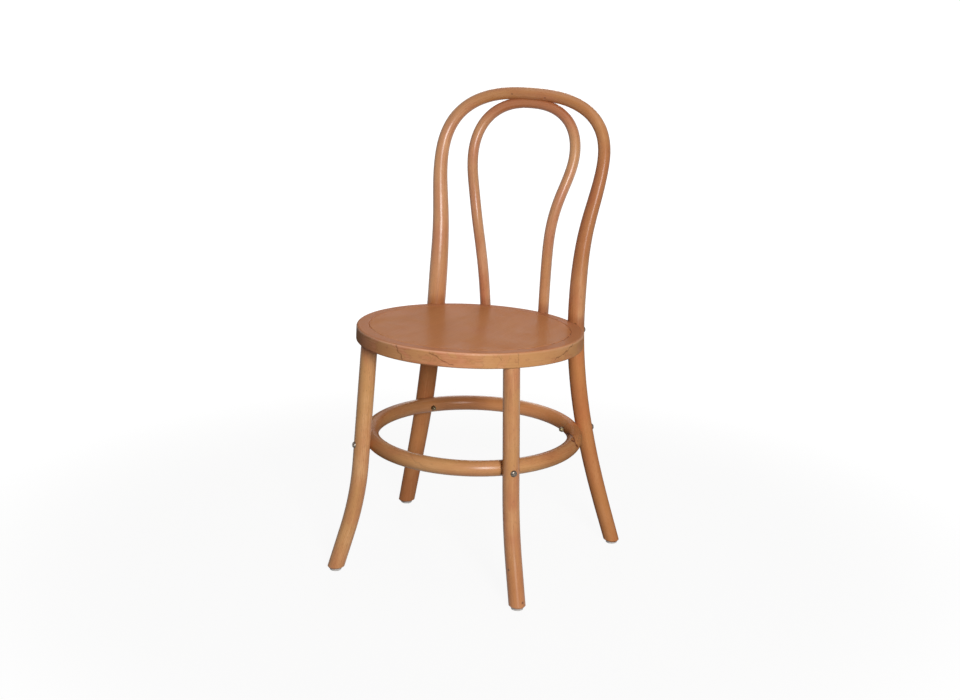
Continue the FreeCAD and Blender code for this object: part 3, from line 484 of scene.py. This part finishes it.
def wood(name, stick_from, shift=0.0, tint=(1, 1, 1), coat=0.5, calm=1.0, marks=None, shine=None):
    """Lacquered beech; stick_from gives the place in the stick, and shift picks another stick."""
    material, flow = new_material(name)
    stick = vector_maths(flow, "ADD", stick_from(flow), (0, 0, shift))
    across, up, _ = parts_of(flow, stick)
    drift = figure(flow, stick, DRIFT, detail=3) - 0.5
    wobble = figure(flow, stick, WOBBLE) - 0.5
    reach = (across - PITH[0] + drift * RING_DRIFT).maths("POWER", 2)
    reach = (reach + (up - PITH[1]).maths("POWER", 2)).maths("SQRT") + wobble * RING_RIPPLE
    year = (reach / YEAR).maths("FRACT")
    late = year.band((0.35, 0.95), (0.95, 1.0))
    fibres = figure(flow, stick, FIBRES, detail=3, roughness=0.6)
    streaks = figure(flow, stick, STREAKS)
    flecks = figure(flow, stick, FLECKS, detail=1).between(0.6, 0.72)
    cloud = figure(flow, stick, CLOUD, detail=4, roughness=0.6)
    rosy = figure(flow, stick, ROSY, detail=3).between(0.3, 0.74)
    tone = late * LATE_SHARE + (fibres - 0.5) * FIBRE_SHARE
    tone = tone + (streaks - 0.5) * STREAK_SHARE + (cloud - 0.5) * CLOUD_SHARE
    tone = tone * calm + 0.3
    base = ((rosy - 0.5) * calm * 0.8 + 0.45).mix(TAN, ROSE)
    base = tone.between(0.0, 0.42).mix(PALE, base)
    base = tone.between(0.4, 0.95).mix(base, DARK_WOOD_AND_SHADE)
    base = (flecks * FLECK_SHARE * calm).mix(base, VEIN)
    if marks is not None:
        base = marks(flow, base)
    bump = flow.make("Bump", None, {
        "Strength": 0.1,
        "Distance": 0.0003,
        "Height": fibres * 0.4 - flecks * 0.6 + streaks * 0.5,
    })
    gloss = (cloud - 0.5) * 0.2 + coat
    if shine is not None:
        gloss = gloss * shine(flow)
    shader = flow.make("BsdfPrincipled", None, {
        "Base Color": tinted(flow, base, (*tint, 1)),
        "Roughness": 0.5 + (cloud - 0.5) * 0.16 + flecks * 0.1,
        "Specular IOR Level": 0.0,
        "Normal": bump,
        "Coat Weight": gloss,
        "Coat Roughness": LACQUER_ROUGHNESS,
    })
    surface(flow, shader)
    return material


print("year rings", YEAR * 1000, "mm apart")

# %% [markdown]
# A bent rod reads its place in the stick from its mesh. The rim was bent round the seat, so its
# place is its turn round the seat's middle, which nodes can work out. The board was never bent:
# its grain runs from front to back, and only its own place counts.

# %% Where each piece finds its place in the stick
# Metres of stick to a radian round the seat, the radius of the rim's middle, and how much the
# board's figure is squeezed in height and in width
RIM_REACH = 0.2
RIM_MIDDLE = 0.19
BOARD_SQUEEZE = (0.5, 0.6)


def from_attribute(flow):
    """The stick place that a bent rod keeps on its mesh."""
    return flow.make("Attribute", {"attribute_name": "stick"}, None, output=1)


def seat_place(flow):
    """Side, back and height from the middle of the seat, with the seat's slope taken out."""
    place = vector_maths(flow, "SUBTRACT", object_place(flow), tuple(SEAT_MIDDLE))
    side, back, height = parts_of(flow, place)
    return side, back, height + back * (SEAT_NORMAL.y / SEAT_NORMAL.z)


def radius_of(side, back):
    """How far a place is from the middle of a circle."""
    return (side.maths("POWER", 2) + back.maths("POWER", 2)).maths("SQRT")


def from_rim(flow):
    """The stick place on the seat's rim: outwards, up, and along from its front to the right."""
    side, back, height = seat_place(flow)
    turn = side.maths("ARCTAN2", back * -1)
    return point(flow, radius_of(side, back) - RIM_MIDDLE, height, turn * RIM_REACH)


def from_board(flow):
    """The place in the flat board of the seat, with the grain from front to back."""
    side, back, height = seat_place(flow)
    return point(flow, height * BOARD_SQUEEZE[0], side * BOARD_SQUEEZE[1], back)


print("once round the rim is", round(2 * math.pi * RIM_REACH, 3), "m of stick")

# %% [markdown]
# The rim's front is the liveliest piece of wood on the chair: tan and rosy patches with a few
# dark veins that cross the grain, and a straight joint where its two ends meet. Each vein is the
# distance from a line between two places on the rim, counted along it and down from its top, and
# some noise makes it wander. The rounded edge is painted a little paler along the front, partly
# as rubbed wear and partly as a painted highlight. Most lacquer is left on the rounded edge, and
# the flat top is rubbed dull by sitters, like the board.

# %% Veins of the rim
YELLOW = colour(196, 150, 92)
BLUSH = colour(212, 150, 112)
# Paler front edge: partly rubbed wear, partly a painted highlight
RUBBED_AND_HIGHLIGHT = colour(236, 184, 146)
QUIET = colour(191, 126, 81)

# How fine the rim's patches are, along it and up it, and which layers of the noise are cut
PATCHES = (22, 34)
PATCH_LAYER = 3.7
DEPTH_LAYER = 9.1

# Start, end and darkness; the places are metres along the rim from its front, and up from its top
RIM_VEINS = (
    ((-0.047, -0.001), (-0.030, -0.027), 0.62),
    ((0.019, -0.004), (0.060, -0.025), 0.6),
    ((0.246, -0.021), (0.304, -0.002), 0.6),
    ((0.1693, -0.001), (0.1694, -0.022), 0.34),
    ((0.136, -0.004), (0.139, -0.016), 0.3),
)


def painted(base, layers):
    """Lays colours over a base, one after another; each comes with the mask where it shows."""
    for mask, paint in layers:
        base = mask.mix(base, paint)
    return base


def vein(flow, along, up, start, end, width=0.0016, wander=0.012):
    """A line in the wood that wanders from start to end; 1 at its middle."""
    length = math.dist(start, end)
    ahead = ((end[0] - start[0]) / length, (end[1] - start[1]) / length)
    forward = (along - start[0]) * ahead[0] + (up - start[1]) * ahead[1]
    aside = (up - start[1]) * ahead[0] - (along - start[0]) * ahead[1]
    wobble = noise(flow, point(flow, along, up, start[0]), 90, detail=3) - 0.5
    inside = forward.band((-0.003, 0.002), (length - 0.004, length + 0.002))
    return (aside + wobble * wander).near(0, width * 0.2, width) * inside


def rim_marks(flow, base):
    """Patches, veins and joint of its side, its calm top, and its front edge: wear and painted
    highlight.
    """
    _, up, along = parts_of(flow, from_rim(flow))
    side = 1 - up.between(-0.0022, -0.0002)
    patches = point(flow, along * PATCHES[0], up * PATCHES[1], PATCH_LAYER)
    field = noise(flow, patches, 1.0, detail=4, distortion=0.4)
    depth = noise(flow, point(flow, along, up, DEPTH_LAYER), 170).between(0.3, 0.62) * 0.5 + 0.5
    veins = field.near(0.52, 0.002, 0.014) * 0.14
    for start, end, dark in RIM_VEINS:
        veins = veins.maths("MAXIMUM", vein(flow, along, up, start, end) * depth * dark)
    # The front edge is painted paler: partly rubbed wear, partly a painted highlight
    edge = up.band((-0.0032, -0.002), (-0.001, -0.0004)) * along.near(0, 0.1, 0.2)
    return painted(base, (
        (field.between(0.47, 0.56) * side * 0.5, YELLOW),
        ((1 - field.between(0.38, 0.47)) * side * 0.4, BLUSH),
        ((1 - side) * 0.75, QUIET),
        (edge * 0.35, RUBBED_AND_HIGHLIGHT),
        (veins * side, VEIN),
    ))


def rim_shine(flow):
    """Most lacquer on the rounded edge in front, and little on the side and the flat top."""
    _, up, along = parts_of(flow, from_rim(flow))
    front = along.near(0.1, 0.12, 0.24) * 0.7 + 0.3
    edge = up.band((-0.0045, -0.003), (-0.0014, -0.0003))
    return edge * front * 1.4 + 0.12 + up.between(-0.0014, -0.0003) * 0.05


print("rim veins", len(RIM_VEINS))

# %% [markdown]
# The board is quiet, sliced from one log. A thin line shows where it meets the rim, a painted
# highlight along its left and dark and broken on its right.

# %% Line round the board
BOARD_LOW, BOARD_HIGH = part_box("seat_panel")
BOARD_RADIUS = (BOARD_HIGH.x - BOARD_LOW.x) / 2
# Pale colour of the painted highlight on the board's edge line, and of a scratch
HIGHLIGHT_AND_SCRATCH = colour(214, 178, 138)
SCRATCH = ((0.012, 0.116), (0.021, 0.117))


def board_marks(flow, base):
    """The line of the joint, a painted highlight on the left and dark on the right, and a pale
    scratch.
    """
    side, back, _ = seat_place(flow)
    line = radius_of(side, back).between(BOARD_RADIUS - 0.0016, BOARD_RADIUS - 0.0006)
    broken = noise(flow, point(flow, side, back, 0.0), 60, detail=3).between(0.4, 0.6)
    right = side.between(-0.05, 0.03)
    scratch = vein(flow, side, back, *SCRATCH, width=0.002, wander=0.002)
    return painted(base, (
        # Painted highlight: the pale stretch of the joint line on the left
        (line * (1 - right) * 0.35, HIGHLIGHT_AND_SCRATCH),
        (line * right * broken * 0.6, VEIN),
        (scratch * 0.4, HIGHLIGHT_AND_SCRATCH),
    ))


print("board radius", round(BOARD_RADIUS, 4))

# %% [markdown]
# At the joint of the leg ring the glue and the heat left the wood redder and dull, with a fine
# line where the slope of the outer end runs out, and a dark line of painted shade where the two
# ends lie side by side. Rust from the pins shows as two dark spots. The ring's rear is painted
# paler as a highlight, and its left and its right front darker as painted shade.

# %% Stain at the ring's joint
STAIN = colour(204, 114, 80)
# Rust of the pins, and the painted shade of the joint's dark line
RUST_AND_SHADE = colour(92, 32, 18)
# Painted highlight at the rear of the ring
REAR_HIGHLIGHT = colour(240, 164, 108)

# The slope's end, as an angle round the ring and how much it leans with height
FEATHER_ANGLE = 0.65
FEATHER_LEAN = 1.5

# The dark line's two ends, to the side and back from the ring's middle
JOINT_INSIDE = (0.160, 0.078)
JOINT_OUTSIDE = (0.2055, 0.009)
JOINT_LENGTH = math.dist(JOINT_INSIDE, JOINT_OUTSIDE)

# The rust spots, as places on the chair
RUST_SPOTS = ((0.1974, 0.0087, 0.2519), (0.2056, 0.009, 0.2434))
RUST_SIZE = (0.002, 0.0046)


def spot(flow, place, inner, outer):
    """1 up to inner away from a place on the chair, and 0 beyond outer."""
    inputs = {0: object_place(flow), 1: place}
    away = flow.make("VectorMath", {"operation": "DISTANCE"}, inputs, output=1)
    return 1 - away.between(inner, outer)


def from_ring_middle(flow):
    """Side, back and height from the ring's middle, and the leaning angle round it."""
    place = vector_maths(flow, "SUBTRACT", object_place(flow), tuple(RING_MIDDLE))
    side, back, height = parts_of(flow, place)
    return side, back, height, back.maths("ARCTAN2", side) + height * FEATHER_LEAN


def stained(flow):
    """1 where the glue and the heat stained the joint: from its front line to its feather edge."""
    side, back, height, angle = from_ring_middle(flow)
    ahead = [(end - start) / JOINT_LENGTH for start, end in zip(JOINT_INSIDE, JOINT_OUTSIDE)]
    beyond = (back - JOINT_INSIDE[1]) * ahead[0] - (side - JOINT_INSIDE[0]) * ahead[1]
    wobble = (noise(flow, point(flow, side, back, height), 160, detail=2) - 0.5) * 0.003
    ends = 1 - angle.between(FEATHER_ANGLE - 0.02, FEATHER_ANGLE + 0.01)
    return (beyond + wobble).between(-0.0006, 0.0012) * ends * side.between(0.05, 0.1)


def ring_marks(flow, base):
    """Joint stain, fine line, painted shade line and rust, a dark figure, painted highlight and
    shade.
    """
    side, back, height, angle = from_ring_middle(flow)
    joined = stained(flow)
    feather = angle.near(FEATHER_ANGLE, 0.002, 0.009) * side.between(0.0, 0.05)
    joint = vein(flow, side, back, JOINT_INSIDE, JOINT_OUTSIDE, width=0.0019, wander=0.004)
    figured = vein(flow, side, height, (-0.034, 0.013), (0.004, -0.002), wander=0.014)
    front = 1 - back.between(-0.15, -0.1)
    right = side.between(0.12, 0.17) * back.between(-0.12, -0.02)
    base = painted(base, (
        (joined * 0.24, STAIN),
        (feather * 0.55, VEIN),
        # Painted shade: the dark line in the joint where the two ends lie side by side
        (joint * height.between(-0.008, -0.003) * 0.8, RUST_AND_SHADE),
        (figured * front * 0.3, VEIN),
        (front * 0.3, PALE),
        # Painted highlight: the rear of the ring paler
        (back.between(0.06, 0.14) * 0.6, REAR_HIGHLIGHT),
        # Painted shade: the ring's left side darker
        ((1 - side.between(-0.16, -0.02)) * 0.34, DARK_WOOD_AND_SHADE),
        # Painted shade: the ring's right front darker
        (right * (1 - joined) * 0.3, DARK_WOOD_AND_SHADE),
    ))
    return painted(base, [(spot(flow, place, *RUST_SIZE) * 0.9, RUST_AND_SHADE) for place in RUST_SPOTS])


def ring_shine(flow):
    """The stained wood is dull, and so are the ring's left front and its right rear."""
    side, back, _, _ = from_ring_middle(flow)
    left = (1 - side.between(-0.1, 0.02)) * (1 - back.between(0.0, 0.1))
    right = side.between(0.02, 0.12) * back.between(-0.14, -0.04)
    return (1 - stained(flow) * 0.75) * (1 - left * 0.8) * (1 - right * 0.8)


print("joint line", round(JOINT_LENGTH, 3), "m long")

# %% [markdown]
# Years of knocks leave small dark specks, where dirt sits in a dent. Each is a round spot at its
# place on the rod. Both hoops are painted darker where they meet the seat, as painted shade.

# %% Specks and painted shade
CROWN_SPECKS = ((-0.036, 0.2162, 0.8565), (0.0327, 0.217, 0.8536))
CROWN_SPECK_SIZE = 0.0022
LEG_SPECKS = ((0.1661, -0.2036, 0.070), (0.197, -0.2079, 0.0152), (0.172, -0.206, 0.041))
LEG_SPECK_SIZE = 0.0032
# Painted shade and shadow: the darker colour at the seat and under it
SEAT_SHADE = colour(132, 66, 36)
SEAT_SHADE_HEIGHT = SEAT_MIDDLE.z - 0.007


def specked(flow, base, places, size):
    """A dark speck at each place."""
    return painted(base, [(spot(flow, place, size * 0.4, size) * 0.7, VEIN) for place in places])


def painted_seat_shade(base, height):
    """Painted shade: a darker band where a rod meets the seat."""
    return (height.near(SEAT_SHADE_HEIGHT, 0.003, 0.024) * 0.45).mix(base, SEAT_SHADE)


print("specks", len(CROWN_SPECKS) + len(LEG_SPECKS))

# %% [markdown]
# No stick is one colour from end to end, so each of these hooks changes a piece's colour by
# place. The back hoop is paler at its left, where a sheen is painted, darker at its right and
# orange below the seat, with the seat's shadow painted on its upper left leg. The crowns are
# darker, partly their tone and partly painted shade, the inner one redder, and the right front
# leg is redder at its foot.

# %% Colours that change along the rods
# Painted sheen: the pinkish paleness of the hoop's left rods, where they catch the lamp
SHEEN_SIDE = colour(226, 176, 142)
DARK_SIDE = colour(158, 80, 34)
# Crown colours: partly the wood's tone, partly painted shade on the tops of the hoops
CROWN_RED_SHADE = colour(166, 90, 46)
CROWN_GOLD_SHADE = colour(172, 104, 50)
LEG_ORANGE = colour(216, 134, 78)
FOOT_RED = colour(178, 98, 56)


def hoop_marks(flow, base):
    """Painted sheen left, darker right, orange below the seat, painted shade on crown, leg and seat,
    specks.
    """
    side, _, height = parts_of(flow, object_place(flow))
    left = 1 - side.between(-0.2, -0.06)
    low = height.band((0.46, 0.48), (0.5, 0.58))
    right = side.between(0.0, 0.14) * height.between(0.5, 0.58)
    legs = 1 - height.between(0.42, 0.46)
    seat_shadow_on_leg = legs * (1 - side.between(-0.2, 0.0)) * height.between(0.3, 0.42)
    base = painted(base, (
        # Painted sheen on the left rods above the seat
        (left * height.between(0.45, 0.47) * 0.24, SHEEN_SIDE),
        (left * low * 0.4, PALE),
        (right * (1 - height.between(0.72, 0.8) * 0.6) * 0.46, DARK_SIDE),
        # Partly tone, partly painted shade over the crown
        (height.between(0.81, 0.85) * 0.3, CROWN_GOLD_SHADE),
        (legs * 0.4, LEG_ORANGE),
        # Painted shadow: the seat's shadow on the upper left leg
        (seat_shadow_on_leg * 0.5, SEAT_SHADE),
    ))
    return specked(flow, painted_seat_shade(base, height), CROWN_SPECKS, CROWN_SPECK_SIZE)


def inner_marks(flow, base):
    """Redder and darker over the crown, partly tone and partly painted shade, and painted shade at
    the seat.
    """
    _, _, height = parts_of(flow, object_place(flow))
    # Partly tone, partly painted shade over the crown
    base = (height.between(0.78, 0.83) * 0.6).mix(base, CROWN_RED_SHADE)
    return painted_seat_shade(base, height)


def right_leg_marks(flow, base):
    """Specks, and a foot redder than the leg."""
    _, _, height = parts_of(flow, object_place(flow))
    base = ((1 - height.between(0.03, 0.15)) * 0.4).mix(base, FOOT_RED)
    return specked(flow, base, LEG_SPECKS, LEG_SPECK_SIZE)


def hoop_shine(flow):
    """The lacquer is dull below the seat, where shoes reach it, and duller on the right."""
    side, _, height = parts_of(flow, object_place(flow))
    return (height.between(0.42, 0.46) * 0.8 + 0.2) * (1 - side.between(0.04, 0.14) * 0.4)


print("crown specks are", round(CROWN_SPECKS[0][2] - SEAT_MIDDLE.z, 3), "m above the seat")

# %% [markdown]
# Every piece came from another stick, so each gets a shift of its own into the figure, a tint and
# its own amount of lacquer. The rods take their material on the finished copy. The rim and the
# board are the frame's own nodes, and there the material goes on the object, not on the mesh.

# %% Dress the wooden pieces
finishes = {
    back_hoop: wood("lacquered_beech_hoop", from_attribute, 0.0, tint=(0.92, 0.9, 0.9),
                    coat=0.85, marks=hoop_marks, shine=hoop_shine),
    inner_hoop: wood("lacquered_beech_inner", from_attribute, 5.0, tint=(0.95, 0.95, 1.11),
                     coat=0.8, marks=inner_marks),
    front_legs[0]: wood("lacquered_beech_leg_left", from_attribute, 9.0, tint=(1.04, 1.07, 1.08)),
    front_legs[1]: wood("lacquered_beech_leg_right", from_attribute, 12.0, tint=(0.94, 0.9, 0.87),
                        coat=0.8, marks=right_leg_marks),
    leg_ring: wood("lacquered_beech_ring", from_attribute, 16.0, tint=(0.94, 0.93, 0.88),
                   coat=0.6, marks=ring_marks, shine=ring_shine),
}
for piece, material in finishes.items():
    piece.data.materials.clear()
    piece.data.materials.append(material)


def dress(node, material):
    """Gives a frame node a better material."""
    for slot in frame["nodes"][node].material_slots:
        slot.link = "OBJECT"
        slot.material = material


dress("seat_rim", wood("lacquered_beech_rim", from_rim, 20.0, tint=(1.0, 0.97, 1.1), coat=0.5,
                       calm=0.8, marks=rim_marks, shine=rim_shine))
dress("seat_panel", wood("lacquered_beech_board", from_board, 24.0, tint=(1.02, 0.88, 0.84),
                         coat=0.08, calm=0.22, marks=board_marks))
print("wood finishes", len(finishes) + 2)

# %% [markdown]
# The bolts are dull zinc, the cap nuts are plated yellow and worn, and the glides are pale
# plastic. Each gets a colour that drifts, and a roughness that does too, so that no two small
# highlights look stamped from one mould.

# %% Metal and plastic
SCRATCHES = (900, 5000)


def worn_metal(name, bright, dull, roughness):
    """Plated steel with dull patches and fine scratches."""
    material, flow = new_material(name)
    place = object_place(flow)
    patches = noise(flow, place, 420.0, detail=3).between(0.35, 0.7)
    scratches = figure(flow, place, SCRATCHES)
    bump = {"Strength": 0.2, "Distance": 0.00004, "Height": scratches}
    shader = flow.make("BsdfPrincipled", None, {
        "Base Color": patches.mix(bright, dull),
        "Metallic": 1.0,
        "Roughness": roughness + patches * 0.14 + (scratches - 0.5) * 0.12,
        "Normal": flow.make("Bump", None, bump),
    })
    surface(flow, shader)
    return material


def moulded_plastic(name, clean, grey):
    """Pale plastic, scuffed where it slides."""
    material, flow = new_material(name)
    scuffs = noise(flow, object_place(flow), 300.0, detail=4, roughness=0.7).between(0.45, 0.75)
    bump = {"Strength": 0.2, "Distance": 0.0001, "Height": scuffs}
    shader = flow.make("BsdfPrincipled", None, {
        "Base Color": (scuffs * 0.6).mix(clean, grey),
        "Roughness": 0.45 + scuffs * 0.2,
        "Normal": flow.make("Bump", None, bump),
    })
    surface(flow, shader)
    return material


zinc = worn_metal("zinc_plate", colour(126, 118, 108), colour(66, 58, 52), 0.24)
yellow = worn_metal("yellow_plate", colour(122, 110, 84), colour(70, 58, 40), 0.32)
dark_iron = worn_metal("dark_iron", colour(70, 52, 42), colour(40, 30, 25), 0.5)
plastic = moulded_plastic("glide_plastic", colour(205, 203, 200), colour(150, 146, 142))

# The first entry that a node's name starts with gives its finish
SMALL_PARTS = (
    ("ring_nut", yellow),
    ("scarf_brads", dark_iron),
    ("glide_nail", zinc),
    ("glide", plastic),
    ("ring_bolt", zinc),
    ("seat_bolt", zinc),
    ("seat_nut", zinc),
    ("seat_washer", zinc),
    ("stem_screw", zinc),
    ("crown_screw", zinc),
    ("tenon_screw", zinc),
)
dressed = 0
for node in frame["nodes"]:
    material = next((finish for start, finish in SMALL_PARTS if node.startswith(start)), None)
    if material is not None:
        dress(node, material)
        dressed += 1
print("small parts dressed", dressed)

# %% [markdown]
# The studio is a white floor that runs to the horizon. The floor and the sky show as white to the
# camera and in reflections, but the chair keeps its soft shadow on the floor. A dim warm sky keeps
# the shadows from going black.

# %% Floor and sky
FLOOR_SIZE = 60
FLOOR_GREY = (0.22, 0.22, 0.22, 1)
FLOOR_GLOW = 1.16
SKY_WARMTH = (1, 0.78, 0.58, 1)
SKY_STRENGTH = 0.1
WHITE = (1, 1, 1, 1)

bpy.ops.object.select_all(action="DESELECT")
bpy.ops.mesh.primitive_plane_add(size=FLOOR_SIZE, location=(0, 0, 0))
floor = bpy.context.active_object
floor.name = "floor"


def seen_directly(flow):
    """1 for rays from the camera, mirrors and glass."""
    path = flow.make("LightPath").socket.node.outputs
    camera, glossy, glass = (Flow(flow.tree, path[name])
                             for name in ("Is Camera Ray", "Is Glossy Ray", "Is Transmission Ray"))
    return camera.maths("MAXIMUM", glossy).maths("MAXIMUM", glass)


floor_material, flow = new_material("studio_floor")
inputs = {0: object_place(flow)}
away = flow.make("VectorMath", {"operation": "LENGTH"}, inputs, output=1)
white = seen_directly(flow) * (0.8 + away.between(0.6, 2.0) * 0.2)
matt = flow.make("BsdfDiffuse", None, {"Color": FLOOR_GREY})
glow = flow.make("Emission", None, {"Color": WHITE, "Strength": FLOOR_GLOW})
surface(flow, flow.make("MixShader", None, {0: white, 1: matt, 2: glow}))
floor.data.materials.append(floor_material)

world = bpy.data.worlds.new("studio_sky")
bpy.context.scene.world = world
world.use_nodes = True
world.node_tree.nodes.clear()
sky = Flow(world.node_tree)
soft = sky.make("Background", None, {"Color": SKY_WARMTH, "Strength": SKY_STRENGTH})
bright = sky.make("Background", None, {"Color": WHITE, "Strength": 1.0})
seen = sky.make("MixShader", None, {0: seen_directly(sky), 1: soft, 2: bright})
sky_output = world.node_tree.nodes.new("ShaderNodeOutputWorld")
world.node_tree.links.new(seen.socket, sky_output.inputs["Surface"])
print("floor", FLOOR_SIZE, "m wide")

# %% [markdown]
# Each lamp is a rectangle, because a broad lamp gives soft shadows and long soft highlights on a
# rod. The strong one stands to the right of the camera and a little higher. A weak one hangs
# overhead for the tops of things. Another behind the chair lights its back, and by its light the
# seat mirrors the rods in front of it.

# %% Lamps
# Name, place, target, width, height and watts
LAMPS = (
    ("key_lamp", (2.0, -2.5, 1.64), (0, 0, 0.5), 0.75, 1.3, 102),
    ("top_lamp", (0, 0, 2.6), (0, 0, 0.45), 1.8, 1.8, 9),
    ("rear_lamp", (-1.0, 2.9, 1.7), (0, 0, 0.5), 1.6, 1.4, 26),
)


def add_lamp(name, place, target, width, height, watts):
    """A soft lamp that faces a target."""
    data = bpy.data.lights.new(name, "AREA")
    data.shape = "RECTANGLE"
    data.size = width
    data.size_y = height
    data.energy = watts
    lamp = bpy.data.objects.new(name, data)
    bpy.context.scene.collection.objects.link(lamp)
    lamp.location = place
    lamp.rotation_euler = (Vector(target) - Vector(place)).to_track_quat("-Z", "Y").to_euler()


for values in LAMPS:
    add_lamp(*values)
print("lamps", len(LAMPS))

# %% [markdown]
# The camera stands in front of the chair and to its right, and looks down at it a little. The
# chair isn't quite in the middle of the picture, so the lens is shifted, and the camera was held
# a little crooked, which is its roll.

# %% Camera
IMAGE_WIDTH, IMAGE_HEIGHT = 960, 700
AZIMUTH, ELEVATION, ROLL = math.radians(24.76), math.radians(14.54), math.radians(1.34)
DISTANCE = 2.928
FOCAL_PIXELS = 1586.46
TARGET_PIXEL = (470.46, 316.64)
TARGET_HEIGHT = 0.4725
SENSOR = 36.0

camera_data = bpy.data.cameras.new("camera")
camera_data.sensor_width = SENSOR
camera_data.lens = FOCAL_PIXELS * SENSOR / IMAGE_WIDTH
camera_data.shift_x = (IMAGE_WIDTH / 2 - TARGET_PIXEL[0]) / IMAGE_WIDTH
camera_data.shift_y = (TARGET_PIXEL[1] - IMAGE_HEIGHT / 2) / IMAGE_WIDTH
camera = bpy.data.objects.new("camera", camera_data)
bpy.context.scene.collection.objects.link(camera)
target = Vector((0, SEAT_MIDDLE.y, TARGET_HEIGHT))
backward = Vector((
    math.sin(AZIMUTH) * math.cos(ELEVATION),
    -math.cos(AZIMUTH) * math.cos(ELEVATION),
    math.sin(ELEVATION),
))
right = Vector((math.cos(AZIMUTH), math.sin(AZIMUTH), 0))
up = backward.cross(right)
rolled_right = right * math.cos(ROLL) + up * math.sin(ROLL)
rolled_up = up * math.cos(ROLL) - right * math.sin(ROLL)
turn = Matrix((rolled_right, rolled_up, backward)).transposed().to_4x4()
camera.matrix_world = Matrix.Translation(target + backward * DISTANCE) @ turn
bpy.context.scene.camera = camera
bpy.context.scene.view_settings.view_transform = "Standard"
print("lens", round(camera_data.lens, 2), "mm")
